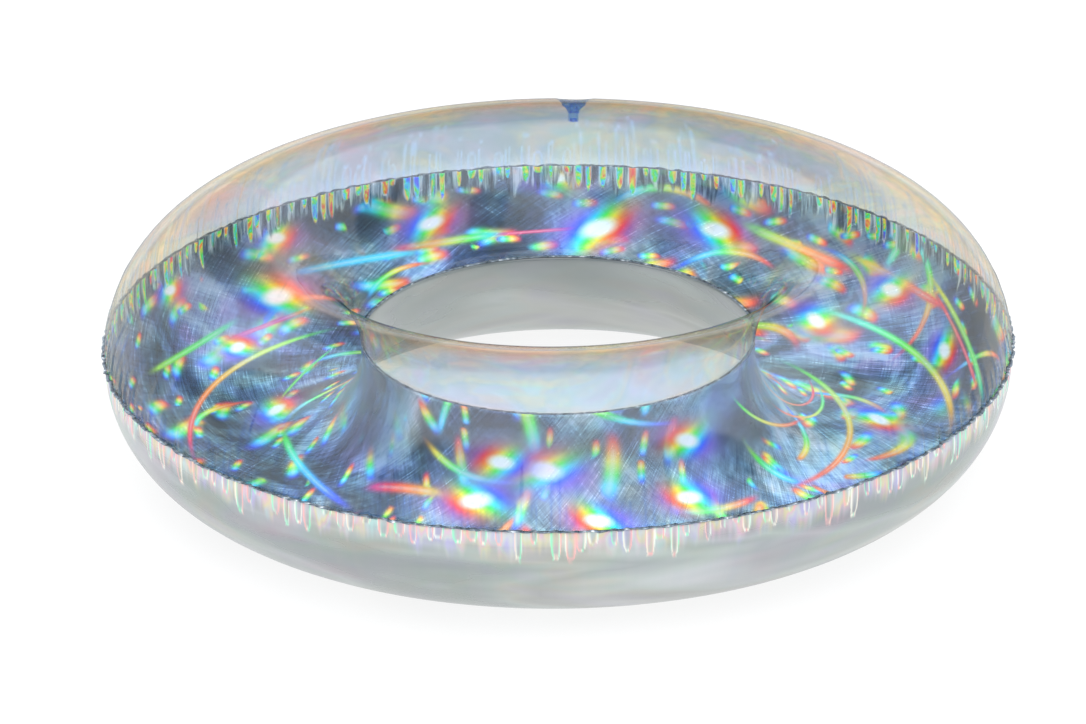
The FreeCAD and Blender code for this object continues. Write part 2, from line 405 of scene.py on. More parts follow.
class Signal:
    """A number that varies over a surface: a socket of a node tree with the usual operators."""

    def __init__(self, tree, socket):
        self.tree = tree
        self.socket = socket

    def math(self, operation, *others):
        node = self.tree.nodes.new("ShaderNodeMath")
        node.operation = operation
        for slot, value in zip(node.inputs, (self, *others)):
            feed(self.tree, slot, value)
        return Signal(self.tree, node.outputs[0])

    __add__ = partialmethod(math, "ADD")
    __mul__ = partialmethod(math, "MULTIPLY")
    __sub__ = partialmethod(math, "SUBTRACT")
    __truediv__ = partialmethod(math, "DIVIDE")
    power = partialmethod(math, "POWER")

    def __rsub__(self, other):
        return (self * -1) + other

    def smooth(self, low, high):
        """0 at low and 1 at high, with soft ends."""
        node = self.tree.nodes.new("ShaderNodeMapRange")
        node.interpolation_type = "SMOOTHSTEP"
        ends = (high, low, 1.0, 0.0) if low > high else (low, high, 0.0, 1.0)
        for slot, value in zip(node.inputs, (self, *ends)):
            feed(self.tree, slot, value)
        return Signal(self.tree, node.outputs[0])

    def bell(self, width):
        """1 at zero, falling off on both sides."""
        return ((self / width).power(2.0) * -1).math("EXPONENT")


class Nodes:
    """A node tree under construction."""

    def __init__(self, tree):
        self.tree = tree

    def node(self, kind, **values):
        """A new node; underscores in the names of its inputs stand for spaces."""
        node = self.tree.nodes.new("ShaderNode" + kind)
        for name, value in values.items():
            feed(self.tree, node.inputs[name.replace("_", " ")], value)
        return node

    def split(self, vector):
        return [Signal(self.tree, socket) for socket in self.node("SeparateXYZ", Vector=vector).outputs]

    def vector(self, x, y, z):
        return self.node("CombineXYZ", X=x, Y=y, Z=z).outputs[0]

    def attribute(self, name):
        node = self.node("Attribute")
        node.attribute_name = name
        return Signal(self.tree, node.outputs["Fac"])

    def facing(self):
        """0 where the surface faces the viewer, up to 1 at its edge."""
        return Signal(self.tree, self.node("LayerWeight", Blend=0.5).outputs["Facing"])

    def noise(self, where, scale=1.0, detail=3.0, roughness=0.5, warp=0.0):
        node = self.node("TexNoise", Vector=where, Scale=scale, Detail=detail, Roughness=roughness)
        node.inputs["Distortion"].default_value = warp
        return Signal(self.tree, node.outputs["Fac"])

    def cells(self, where, feature):
        node = self.node("TexVoronoi")
        node.feature = feature
        for name, value in (("Vector", where), ("Scale", 1.0), ("Randomness", 0.85)):
            feed(self.tree, node.inputs[name], value)
        return node

    def ramp(self, value, stops):
        """A colour ramp over (position, colour) stops."""
        node = self.node("ValToRGB", Fac=value)
        elements = node.color_ramp.elements
        while len(elements) < len(stops):
            elements.new(0.5)
        for element, (position, colour) in zip(elements, stops):
            element.position = position
            element.color = (*colour, 1.0)
        return node.outputs[0]

    def mix(self, share, first, second, blend="MIX"):
        node = self.node("Mix")
        node.data_type = "RGBA"
        node.blend_type = blend
        for number, value in ((0, share), (6, first), (7, second)):
            feed(self.tree, node.inputs[number], value)
        return node.outputs[2]

    def shaders(self, share, first, second):
        """A mix of two shader nodes."""
        node = self.node("MixShader", Fac=share)
        for number, shader in ((1, first), (2, second)):
            feed(self.tree, node.inputs[number], shader.outputs[0])
        return node

    def bump(self, relief, depth, strength=1.0):
        return self.node("Bump", Distance=depth, Strength=strength, Height=relief).outputs[0]


class Look(Nodes):
    """A material under construction."""

    def __init__(self, name):
        self.material = bpy.data.materials.new(name)
        self.material.use_nodes = True
        super().__init__(self.material.node_tree)
        self.tree.nodes.clear()
        self.output = self.node("OutputMaterial")
        self.place = self.node("TexCoord").outputs["Object"]
        self.x, self.y, self.z = self.split(self.place)
        self.radius = (self.x * self.x + self.y * self.y).math("SQRT") + 0.001
        self.out_x = self.x / self.radius
        self.out_y = self.y / self.radius

    def finish(self, shader):
        feed(self.tree, self.output.inputs["Surface"], shader.outputs[0])
        return self.material


class Stamp(Nodes):
    """A node group that lays one mark over others. Its numbers are given anew each time it is laid."""

    def __init__(self, name, draw, numbers):
        super().__init__(bpy.data.node_groups.new(name, "ShaderNodeTree"))
        face = self.tree.interface
        for way in ("INPUT", "OUTPUT"):
            face.new_socket("colour", in_out=way, socket_type="NodeSocketColor")
            face.new_socket("cover", in_out=way, socket_type="NodeSocketFloat")
        for number in numbers:
            face.new_socket(number, in_out="INPUT", socket_type="NodeSocketFloat")
        enter = self.tree.nodes.new("NodeGroupInput")
        leave = self.tree.nodes.new("NodeGroupOutput")
        values = [Signal(self.tree, socket) for socket in enter.outputs[1 : len(numbers) + 2]]
        colour, cover = draw(self, enter.outputs[0], *values)
        self.tree.links.new(colour, leave.inputs[0])
        self.tree.links.new(cover.socket, leave.inputs[1])

    def lay(self, look, marks, *numbers):
        node = look.node("Group")
        node.node_tree = self.tree
        for slot, value in zip(node.inputs, (*marks, *numbers)):
            feed(look.tree, slot, value)
        return node.outputs[0], Signal(look.tree, node.outputs[1])


# Holographic film: a brushed silver mirror; the short rainbow streaks and glints that it splits from the
# light are painted into its colour

SPECTRUM = (
    (0.00, (0.62, 0.02, 0.45)),
    (0.14, (1.00, 0.05, 0.10)),
    (0.28, (1.00, 0.36, 0.02)),
    (0.40, (0.95, 0.86, 0.04)),
    (0.54, (0.10, 0.90, 0.10)),
    (0.68, (0.05, 0.80, 0.95)),
    (0.84, (0.05, 0.18, 1.00)),
    (1.00, (0.26, 0.06, 0.80)),
)

# The ring's tube, as the marks on the film measure it
TUBE_CENTRE = 0.380
TUBE_RADIUS = 0.142
STROKE_WIDTH = 0.62 * MM
WHITE = (1.0, 1.0, 1.0)


class Chart:
    """The ring's own directions in a material: bearing goes round it, and rise goes down its inner wall, over
    its floor and up its outer wall."""

    def __init__(self, look):
        away_r = look.radius - TUBE_CENTRE
        away_z = look.z - SEAM_LEVEL
        length = (away_r * away_r + away_z * away_z).math("SQRT") + 0.001
        self.look = look
        self.section_r = away_z / length * -1
        self.section_z = away_r / length
        self.bearing = look.x.math("ARCTAN2", look.y * -1)
        self.turned = away_z.math("ARCTAN2", away_r) + math.pi / 2
        self.rise = self.turned * TUBE_RADIUS

    def split(self, dx, dy, dz):
        """How far a small step goes round the ring and along its section."""
        look = self.look
        outwards = dx * look.out_x + dy * look.out_y
        return dy * look.out_x - dx * look.out_y, outwards * self.section_r + dz * self.section_z

    def spiral(self, slant, pitch, stretch):
        """A place for noise that draws fine slanting lines."""
        x, y = rotated(self.look.out_x, self.look.out_y, self.turned * -slant)
        fine = TUBE_CENTRE / pitch
        return self.look.vector(x * fine, y * fine, self.rise / stretch)

    def around(self, pitch, stretch=1000.0):
        """A place for noise that changes with each pitch round the ring, and slowly along the section."""
        return self.spiral(0.0, pitch * TUBE_CENTRE / OUTER_WELD, stretch)


def rotated(x, y, angle):
    """A step measured along a line at an angle, and across it."""
    cosine, sine = angle.math("COSINE"), angle.math("SINE")
    return x * cosine + y * sine, y * cosine - x * sine


def dashes(chart, cell, seed, tilt, length, width, share, bend):
    """Short streaks of painted rainbow reflection, one per cell of space: their strength, and their place in
    the spectrum, which runs along them. At the back they run round the ring; over the front they run up and
    down it and fan out."""
    look = chart.look
    shift = (seed * 3.7, seed * 5.3, seed * 2.1)
    scaled = [axis / cell + move for axis, move in zip((look.x, look.y, look.z), shift)]
    where = look.vector(*scaled)
    cells = look.cells(where, "F1")
    centre = look.split(cells.outputs["Position"])
    chance, draw, _ = look.split(cells.outputs["Color"])
    border = look.cells(where, "DISTANCE_TO_EDGE")
    inside = Signal(look.tree, border.outputs["Distance"]).smooth(0.0, 0.10)
    step = chart.split(*[(here - there) * cell for here, there in zip(scaled, centre)])
    centre_x = (centre[0] - shift[0]) * cell
    frontness = ((centre[1] - shift[1]) * cell).smooth(0.10, -0.25)
    turn = frontness * (centre_x * 1.7 + math.pi / 2) + (draw - 0.5) * (2 * tilt)
    along, across = rotated(*step, turn)
    bent = across + along * along * bend
    strength = along.math("ABSOLUTE").smooth(length, length * 0.35) * bent.bell(width)
    return strength * inside * chance.math("LESS_THAN", share), along / (2 * length) + 0.5


def laid(nodes, colour, cover, share, top):
    """A colour laid over marks that are on black, with the part of the surface they cover."""
    return nodes.mix(share, colour, top), cover + share - cover * share


# Layers of short streaks of painted rainbow reflection
DASHES = (
    # cell, seed, tilt, length, width, share of the cells, bend
    (0.075, 1, 0.35, 0.034, 0.0058, 0.62, 2.5),
    (0.110, 2, 0.45, 0.055, 0.0085, 0.50, -3.0),
    (0.048, 3, 0.35, 0.021, 0.0038, 0.45, 0.0),
    (0.160, 4, 0.90, 0.090, 0.0045, 0.55, 4.5),
)

# Long bowed streaks of painted rainbow reflection, with white painted highlights where they are strongest
STROKES = (
    # bearing and rise of both ends, bow, width, place in the spectrum at both ends
    (-78, 0.048, -138, 0.052, -0.016, 4.5, 0.02, 0.58),
    (-98, 0.132, -124, 0.116, 0.008, 5.0, 0.45, 0.62),
    (-106, -0.020, -133, 0.018, 0.006, 2.6, 0.50, 0.58),
    (-95, -0.046, -46, -0.068, -0.010, 6.5, 0.48, 0.92),
    (-117, 0.102, -137, 0.094, 0.004, 4.0, 0.00, 0.18),
    (142, 0.090, 90, 0.082, -0.012, 5.5, 0.72, 0.26),
    (134, -0.022, 62, -0.072, -0.016, 5.5, 0.58, 0.12),
    (91, -0.200, 124, -0.026, 0.030, 2.4, 0.34, 0.08),
    (120, -0.028, 86, -0.150, -0.020, 2.8, 0.70, 0.10),
    (124, 0.186, 92, 0.128, 0.010, 4.5, 0.38, 0.64),
    (122, 0.172, 97, 0.126, 0.008, 3.0, 0.16, 0.12),
    (62, -0.196, 96, -0.092, 0.012, 3.2, 0.62, 0.12),
    (-166, 0.142, -186, 0.152, 0.003, 2.6, 0.06, 0.16),
    (-134, 0.142, -158, 0.132, 0.002, 6.5, 0.76, 0.66),
    (-152, 0.140, -170, 0.144, 0.003, 7.0, 0.08, 0.74),
    (158, 0.172, 136, 0.148, 0.004, 8.5, 0.62, 0.10),
    (139, 0.166, 116, 0.160, 0.004, 7.0, 0.48, 0.10),
    (-50, -0.098, -26, -0.122, -0.006, 8.5, 0.00, 0.44),
    (30, -0.104, 54, -0.084, 0.005, 6.5, 0.82, 0.04),
)

# Painted glints: white painted highlights in rainbow fringes, with a pale painted halo
GLINTS = (
    # bearing, rise, size, tilt, turn of the hues
    (-135, 0.186, 16, 0.2, 0.3), (-132, 0.121, 24, 0.1, -0.4), (-159, 0.163, 18, -0.2, 0.5),
    (-177, 0.207, 16, 0.0, -0.3), (177, 0.147, 24, -0.3, 0.6), (160, 0.157, 21, 0.1, -0.5),
    (138, 0.076, 19, 0.3, 0.2), (129, 0.146, 18, -0.1, 0.4), (112, 0.122, 17, 0.2, -0.4),
    (101, 0.007, 20, -0.4, 0.3), (41, -0.171, 18, 0.3, 0.5), (36, -0.112, 17, 0.2, -0.3),
    (-103, -0.025, 19, 0.1, 0.4), (-119, 0.086, 15, 0.0, -0.4), (-113, 0.185, 14, 0.2, 0.3),
    (-1, -0.160, 22, 0.1, 0.7), (-18, -0.122, 20, -0.2, -0.6), (-13, -0.166, 17, 0.0, 0.4),
    (12, -0.104, 17, 0.2, -0.5),
)


def spot(bearing, rise, middle, level, radius, tilt):
    """Distances from one place on the ring's surface, along a tilted line and across it."""
    dx = (bearing - middle).math("WRAP", math.pi, -math.pi) * radius
    return rotated(dx, rise - level, tilt)


def draw_stroke(nodes, colour, cover, *numbers):
    half, bow, width, hue, change = numbers[6:]
    along, across = spot(*numbers[:6])
    part = along / half
    away = across + (part * part - 1.0) * bow
    strength = away.bell(width) * part.math("ABSOLUTE").smooth(1.05, 0.50)
    # painted rainbow reflection, turning into a white painted highlight where it is strongest
    rainbow = nodes.ramp((part * 0.5 + 0.5) * change + hue, SPECTRUM)
    share = (strength * 1.5).math("MINIMUM", 1.0)
    return laid(nodes, colour, cover, share, nodes.mix(strength.power(6.0) * 0.30, rainbow, WHITE))


def draw_glint(nodes, colour, cover, *numbers):
    size, twist = numbers[6:]
    along, across = spot(*numbers[:6])
    away = (along * along * 0.22 + across * across).math("SQRT") / size
    rainbow = nodes.ramp((across * twist * 2.2 + along) / (size * 4.4) + 0.5, SPECTRUM)
    # a pale painted halo, then a white painted highlight in a rainbow fringe
    colour, cover = laid(nodes, colour, cover, away.bell(1.7) * 0.28, (0.72, 0.84, 0.95))
    share = (away.bell(0.95) * 1.5).math("MINIMUM", 1.0)
    return laid(nodes, colour, cover, share, nodes.mix(away.smooth(0.62, 0.20), rainbow, WHITE))


def level_radius(rise):
    return TUBE_CENTRE + TUBE_RADIUS * math.sin(rise / TUBE_RADIUS)


def stroke_numbers(first_bearing, first_rise, last_bearing, last_rise, bow, width, first_hue, last_hue):
    """A long bowed streak between two places: its middle, tilt, size and hues."""
    rise = (first_rise + last_rise) / 2
    radius = level_radius(rise)
    run = math.radians(last_bearing - first_bearing) * radius
    climb = last_rise - first_rise
    middle = math.radians((first_bearing + last_bearing) / 2)
    half = math.hypot(run, climb) / 2
    change = last_hue - first_hue
    return middle, rise, radius, math.atan2(climb, run), half, bow, width * STROKE_WIDTH, first_hue, change


def glint_numbers(bearing, rise, size, tilt, twist):
    """A painted glint: a white painted highlight in a rainbow fringe."""
    return math.radians(bearing), rise, level_radius(rise), tilt, size * MM, twist


SPOT = ("bearing", "rise", "middle", "level", "radius", "tilt")
stroke_stamp = Stamp("holographic_stroke", draw_stroke, (*SPOT, "half", "bow", "width", "hue", "change"))
glint_stamp = Stamp("holographic_glint", draw_glint, (*SPOT, "size", "twist"))


def placed_marks(look, chart, side):
    """The painted rainbow streaks and painted glints of the front half (side 1) or back half (side -1), on
    black, and the part of the film that they cover. They come first in a material: any later, and Cycles runs
    out of shader stack."""
    marks = ((0.0, 0.0, 0.0), 0.0)
    for row in STROKES:
        if max(side * math.cos(math.radians(bearing)) for bearing in (row[0], row[2])) > -0.05:
            marks = stroke_stamp.lay(look, marks, chart.bearing, chart.rise, *stroke_numbers(*row))
    for row in GLINTS:
        if side * math.cos(math.radians(row[0])) > -0.15:
            marks = glint_stamp.lay(look, marks, chart.bearing, chart.rise, *glint_numbers(*row))
    return marks


def brushed(chart):
    """Fine crossed slanting lines: about 0 to 1."""
    look = chart.look
    rising = look.noise(chart.spiral(0.50, 2.8 * MM, 30 * MM), detail=2.0, roughness=0.75)
    falling = look.noise(chart.spiral(-0.45, 3.6 * MM, 40 * MM), detail=2.0, roughness=0.75)
    return (rising * 0.65 + falling * 0.35 - 0.5) * 1.5 + 0.5


def by_the_seam(chart, reach, soft):
    """1 at the outer seam, with a ragged lower edge."""
    look = chart.look
    depth = (SEAM_LEVEL - look.z) / reach
    ragged = look.noise(chart.around(15 * MM), detail=2.0, roughness=0.6)
    outer = look.radius.smooth(0.40, 0.45)
    return (ragged * 2.0 - 0.35 - depth).smooth(-soft, soft) * outer


def holographic_inside(name, side):
    """The film's inner side: brushed slate blue, with painted rainbow streaks and glints, a comb of colours
    in the pleats painted as rainbow reflection, painted shade and highlights by the seam, and a painted glow.
    """
    look = Look(name)
    chart = Chart(look)
    placed, cover = placed_marks(look, chart, side)
    patches = look.noise(look.place, 9.0, detail=6.0, roughness=0.62, warp=0.8)
    # the sides of the ring near the inner seam, where lines and dashes are calmed and the film gets painted
    # shade
    calm_shaded_sides = chart.rise.smooth(-0.10, -0.15) * look.out_x.math("ABSOLUTE").smooth(0.60, 0.80)
    lines = (brushed(chart) - 0.5) * (1.0 - calm_shaded_sides * 0.8) + 0.5
    # painted light: the film is lighter towards +x (the right) and +y (the back)
    painted_lighter_sides = look.x.smooth(0.05, 0.40) * 0.12 + look.y.smooth(0.05, 0.35) * 0.06 + 0.10
    slate = look.ramp((patches - 0.5) * 2.2 + lines * 0.75 + painted_lighter_sides, (
        (0.12, (0.009, 0.017, 0.033)),
        (0.30, (0.039, 0.065, 0.104)),
        (0.48, (0.112, 0.162, 0.222)),
        (0.64, (0.250, 0.320, 0.395)),
        (0.88, (0.600, 0.680, 0.770)),
    ))
    hues = look.ramp(look.noise(look.place, 11.0, detail=3.0, warp=0.5), (
        (0.32, (0.52, 0.32, 0.78)), (0.42, (0.30, 0.48, 0.85)), (0.55, (0.32, 0.60, 0.62)),
        (0.70, (0.72, 0.58, 0.35)),
    ))
    colour = look.mix(0.50, slate, hues, "OVERLAY")
    colour = look.mix(chart.rise.smooth(0.09, 0.19) * 0.6, colour, (0.36, 0.42, 0.52), "MULTIPLY")
    # painted shade: darker beside the hole on the ring's left and right sides
    colour = look.mix(calm_shaded_sides * 0.7, colour, (0.42, 0.48, 0.58), "MULTIPLY")
    # breaks the painted reflections and glints up along the brushed lines
    brushed_reflection_mask = (lines * 1.3 + 0.45).math("MINIMUM", 1.0)
    for row in DASHES:
        strength, hue = dashes(chart, *row)
        strength = strength * (1.0 - calm_shaded_sides)
        # painted rainbow reflections from the dashes, with white painted highlights at their cores
        colour = look.mix((strength * brushed_reflection_mask * 1.6).math("MINIMUM", 1.0), colour, look.ramp(hue, SPECTRUM))
        colour = look.mix(strength.power(4.0) * 0.35, colour, WHITE)
    # the painted streaks and glints go over the film, broken up along the brushed lines
    colour = look.mix(cover * brushed_reflection_mask, colour, (0.0, 0.0, 0.0))
    colour = look.mix(brushed_reflection_mask, colour, placed, "ADD")
    # By the outer seam: painted shade and highlights along the pleats, and a comb of painted rainbow
    # reflections in the folds
    near = by_the_seam(chart, 40 * MM, 0.15)
    fill = look.noise(chart.around(22 * MM, 40 * MM), detail=3.0, roughness=0.75, warp=0.4)
    comb = look.ramp(fill * 2.4 - 0.70, SPECTRUM)
    pleat_shade_and_highlights = look.ramp(look.noise(chart.around(7 * MM, 60 * MM), detail=2.0, roughness=0.7), (
        (0.38, (0.02, 0.03, 0.05)), (0.47, (0.12, 0.18, 0.24)), (0.55, (0.40, 0.50, 0.55)),
        (0.66, (0.85, 0.90, 0.90)),
    ))
    colour = look.mix(near * 0.75, colour, pleat_shade_and_highlights)
    fold = look.attribute("fold").math("ABSOLUTE").smooth(0.02, 0.30)
    colour = look.mix((fold * (patches * 1.6 + 0.35)).math("MINIMUM", 1.0), colour, comb)
    # painted highlights along the fold edges
    colour = look.mix(look.attribute("steep").power(2.0) * 0.65, colour, (0.94, 0.99, 1.0))
    # painted glow: the film emits its own colour, squared, so its bright streaks and glints shine like
    # white-hot ones
    glow = look.mix(1.0, colour, colour, "MULTIPLY")
    rough = lines * 0.25 + 0.10
    film = look.node("BsdfPrincipled", Base_Color=colour, Metallic=0.55, Roughness=rough,
                     Emission_Color=glow, Emission_Strength=0.50, Normal=look.bump(lines, 0.25 * MM, 0.6))
    return look.finish(film)


def holographic_outside():
    """The film's outer side: plain silver with broad soft painted reflections, tinted near the seam, with
    painted shade in its folds and painted highlights on their edges.
    """
    look = Look("holographic_outside")
    chart = Chart(look)
    flat = look.vector(look.x * 2.4, look.y * 2.4, look.z * 13)
    swell = look.noise(flat, detail=3.0, roughness=0.45, warp=0.35)
    # painted reflections: broad soft light and dark patches in the silver
    silver = look.ramp(swell, (
        (0.30, (0.31, 0.33, 0.33)), (0.46, (0.40, 0.42, 0.42)), (0.53, (0.49, 0.51, 0.51)),
        (0.58, (0.43, 0.45, 0.45)), (0.72, (0.66, 0.68, 0.68)),
    ))
    tint = look.ramp(look.noise(look.vector(look.x * 6, look.y * 6, look.z * 16), detail=2.0, warp=0.5), (
        (0.30, (0.98, 0.72, 0.92)), (0.42, (0.82, 0.88, 1.00)), (0.52, (0.78, 1.00, 0.86)),
        (0.60, (1.00, 0.96, 0.76)), (0.72, (0.88, 0.78, 1.00)),
    ))
    colour = look.mix(by_the_seam(chart, 90 * MM, 0.8) * 0.35 + 0.18, silver, tint, "MULTIPLY")
    glow = look.noise(chart.around(26 * MM, 60 * MM), detail=2.0, roughness=0.6)
    warm = look.ramp(glow, (
        (0.36, (0.62, 0.55, 1.00)), (0.44, (0.80, 0.82, 0.84)), (0.50, (1.00, 0.62, 0.80)),
        (0.56, (1.00, 0.86, 0.45)), (0.62, (0.80, 0.84, 0.84)), (0.70, (0.55, 0.95, 0.90)),
    ))
    colour = look.mix(by_the_seam(chart, 30 * MM, 0.5) * 0.55, colour, warm)
    side = look.noise(chart.around(5 * MM), detail=1.0)
    edge = look.ramp(side, (
        (0.40, (0.30, 1.00, 0.62)), (0.47, (0.95, 1.00, 0.95)), (0.52, (1.00, 0.98, 0.80)),
        (0.58, (1.00, 0.50, 0.50)),
    ))
    # painted shade inside the deep folds, and painted highlights in pastel colours along the fold edges
    inner = look.attribute("fold").math("ABSOLUTE").smooth(0.10, 0.55)
    colour = look.mix(inner * 0.35, colour, (0.38, 0.42, 0.44))
    colour = look.mix(look.attribute("steep") * 0.9, colour, edge)
    film = look.node("BsdfPrincipled", Base_Color=colour, Metallic=0.60, Roughness=swell * 0.25 + 0.16)
    return look.finish(film)


def clear_vinyl():
    """Clear film: beige and grey towards its edges, a little pearly, with a weak reflection; painted shade
    darkens it over the back of the crown and along the fold edges.
    """
    look = Look("clear_vinyl")
    facing = look.facing()
    ripple = look.noise(look.place, 9.0, detail=2.0, warp=0.4)
    tint = look.ramp(facing, (
        (0.00, (0.900, 0.930, 0.955)), (0.45, (0.850, 0.885, 0.910)), (0.60, (0.920, 0.900, 0.870)),
        (0.70, (0.965, 0.890, 0.790)), (0.745, (0.950, 0.865, 0.755)), (0.77, (0.850, 0.830, 0.790)),
        (0.795, (0.950, 0.915, 0.860)), (0.855, (0.940, 0.880, 0.780)), (0.90, (0.880, 0.800, 0.690)),
        (0.925, (0.930, 0.920, 0.900)), (0.97, (0.420, 0.410, 0.370)),
    ))
    # painted shade: the clear film is darker, and more pearly, over the back of the crown
    shaded_back_crown = look.y.smooth(0.34, 0.48) * look.z.smooth(0.13, 0.17)
    tint = look.mix(shaded_back_crown * 0.9, tint, (0.850, 0.825, 0.800), "MULTIPLY")
    pearl = look.ramp(look.noise(look.place, 8.0, detail=3.0, warp=1.0), (
        (0.32, (1.00, 0.88, 0.92)), (0.42, (0.94, 0.94, 1.00)), (0.50, (0.86, 0.92, 0.94)),
        (0.58, (1.00, 0.98, 0.88)), (0.64, (0.90, 1.00, 0.97)), (0.72, (0.94, 0.90, 1.00)),
    ))
    # painted shade along the fold edges: the film lets through a darker blue there
    steep = look.attribute("steep") * 0.8
    pearly = look.mix(shaded_back_crown * 0.4 + 0.5, tint, pearl, "MULTIPLY")
    film = look.node("BsdfTransparent", Color=look.mix(steep, pearly, (0.74, 0.82, 0.93)))
    waves = look.bump(ripple, 0.8 * MM)
    gloss = look.node("BsdfGlossy", Color=(0.93, 0.96, 1.0), Roughness=0.045, Normal=waves)
    shine = facing.power(4.0) * facing.smooth(1.0, 0.93) * 0.34 + 0.045
    return look.finish(look.shaders(shine, film, gloss))


def welded_vinyl():
    look = Look("welded_vinyl")
    grain = look.noise(look.place, 150.0, detail=3.0)
    # painted shade: the fin is coloured dark grey-blue, as its edge looks in shadow, with a few pale flecks
    colour = look.ramp(grain, (
        (0.30, (0.05, 0.07, 0.09)), (0.50, (0.13, 0.17, 0.22)), (0.62, (0.30, 0.36, 0.42)),
        (0.72, (0.90, 0.95, 1.00)),
    ))
    fin = look.node("BsdfPrincipled", Base_Color=colour, Metallic=0.4, Roughness=grain * 0.3 + 0.15,
                    Normal=look.bump(grain, 0.2 * MM))
    return look.finish(fin)


def blue_vinyl(name, clarity):
    """Soft translucent blue vinyl; clarity is how much shows through it."""
    look = Look(name)
    facing = look.facing()
    cloud = look.noise(look.place, 260.0, detail=2.5, roughness=0.6, warp=0.6)
    # painted highlights: the crinkles' blue runs up to near white, with the same noise as their bumps
    colour = look.ramp(cloud, (
        (0.38, (0.01, 0.12, 0.90)), (0.47, (0.06, 0.38, 1.00)), (0.56, (0.20, 0.56, 1.00)),
        (0.66, (0.80, 0.96, 1.00)),
    ))
    body = look.node("BsdfPrincipled", Base_Color=colour, Roughness=0.10, Specular_IOR_Level=0.9,
                     Normal=look.bump(cloud, 3.0 * MM, 1.0))
    through = look.node("BsdfTransparent", Color=look.ramp(facing, (
        (0.00, (0.87, 0.95, 1.00)), (0.60, (0.66, 0.85, 1.00)), (0.85, (0.42, 0.66, 1.00)),
        (1.00, (0.03, 0.08, 0.36)),
    )))
    return look.finish(look.shaders(facing.power(2.0) * 0.35 + (1 - clarity), through, body))


materials = {
    "clear": clear_vinyl(),
    "front": holographic_inside("holographic_front", 1),
    "back": holographic_inside("holographic_back", -1),
    "outside": holographic_outside(),
    "weld": welded_vinyl(),
    "blue": blue_vinyl("blue_vinyl", 0.66),
    "stem": blue_vinyl("blue_tube_vinyl", 0.93),
    "insert": blue_vinyl("insert_vinyl", 0.30),
}


# The sheets and seams

def resolutions(rows, levels):
    """How many columns each row has: levels are (distance, count) from the outer seam inwards."""
    return [next(count for edge, count in levels if row <= edge) for row in rows]


def dressed(made, body, node):
    """A finished piece rides on its body, if it is given one, and stands for its CAD node."""
    if body is not None:
        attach(made, body)
    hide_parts(node)
    return made


def lower_sheet():
    rows = distances(lower_section.length, 34 * MM, 3.2 * MM, 10 * MM)
    counts = resolutions(rows, ((34 * MM, 2880), (48 * MM, 1440), (62 * MM, 720), (math.inf, 360)))
    sheet = Sheet(holographic_surface, rows, counts).build()
    made = sheet.make("holographic_sheet", *[materials[side] for side in ("outside", "front", "back")])
    return dressed(outward(made), "ring", "bottom_sheet")


def upper_sheet():
    rows = distances(upper_section.length, 40 * MM, 4.0 * MM, 9 * MM)
    counts = resolutions(rows, ((30 * MM, 1440), (110 * MM, 720), (math.inf, 360)))
    hole = ValveHole(rows, counts)
    sheet = Sheet(clear_surface, rows, counts).build(hole)
    clear = materials["clear"]
    made = outward(sheet.make("clear_sheet", clear, clear, clear))
    return dressed(made, "ring", "top_sheet")


def seam_fin(name, node, base, reach, count, nicked):
    """A welded fin: a flat band that follows the sheets' edge, with a slightly wavy rim."""
    theta = angles(count)
    sink = 0.0
    if nicked:
        sink = large_pleats.fold(theta, 0.0)[0] + small_pleats.fold(theta, 0.0)[0]
    draw = random.Random(17)
    waves = [(draw.randint(40, 190), draw.uniform(0, 6.28), draw.uniform(0.05, 0.2) * MM) for _ in range(9)]
    wobble = sum(size * np.sin(number * theta + phase) for number, phase, size in waves)
    wobble = wobble * (1 if nicked else 0.3)
    corners = ((0.0, -1), (0.45, -1), (0.94, -0.8), (1.0, 0), (0.94, 0.8), (0.45, 1), (0.0, 1))
    vertices = []
    for across, side in corners:
        radius = base + reach * across - sink * (1 - 0.25 * across) - abs(wobble) * across
        level = SEAM_LEVEL + side * WALL + wobble * across * 2.0
        vertices.extend(np.column_stack((radius * np.cos(theta), radius * np.sin(theta), level)))
    made = outward(new_object(name, vertices, skin(len(corners), count), (materials["weld"],)))
    return dressed(made, "ring", node)


lower_sheet()
upper_sheet()
seam_fin("outer_fin", "outer_seam", OUTER_WELD - WALL, OUTER_FIN + WALL, 2880, nicked=True)
seam_fin("inner_fin", "inner_seam", INNER_WELD + WALL, -(INNER_FIN + WALL), 720, nicked=False)


# The valve, made in its own frame in millimetres: z runs outwards along its leaning axis from the clear sheet

VALVE_HOLE, FLANGE_RADIUS, FLANGE_WALL = 15.0, 22.3, 0.6
RIM_FOOT, CONE_FOOT, CONE_WALL = 2.7, 17.0, 0.8
STEM_RADIUS, STEM_BORE, MOUTH, FOOT = 6.3, 4.6, 4.0, 29.0
HEAD_RADIUS, HEAD_HEIGHT = 7.6, 1.5
BEND = 8.9
SEAT_GAP = 0.05


def rounded(corners, radius, steps=4, closed=True):
    """An outline whose corners are rounded off."""
    corners = [Vector(corner) for corner in corners]
    outline = []
    for k, corner in enumerate(corners):
        if not closed and k in (0, len(corners) - 1):
            outline.append(corner)
            continue
        before = corners[k - 1] - corner
        after = corners[(k + 1) % len(corners)] - corner
        reach = min(radius, before.length * 0.45, after.length * 0.45)
        enter = corner + before.normalized() * reach
        leave = corner + after.normalized() * reach
        for step in range(steps + 1):
            t = step / steps
            outline.append(enter * (1 - t) ** 2 + corner * 2 * t * (1 - t) + leave * t**2)
    return outline


def finely(outline, step, closed=True):
    """The outline with no side longer than a step."""
    points = []
    for start, end in zip(outline, outline[1:] + (outline[:1] if closed else [])):
        pieces = max(1, math.ceil((end - start).length / step))
        points += [start.lerp(end, k / pieces) for k in range(pieces)]
    return points if closed else points + [outline[-1]]


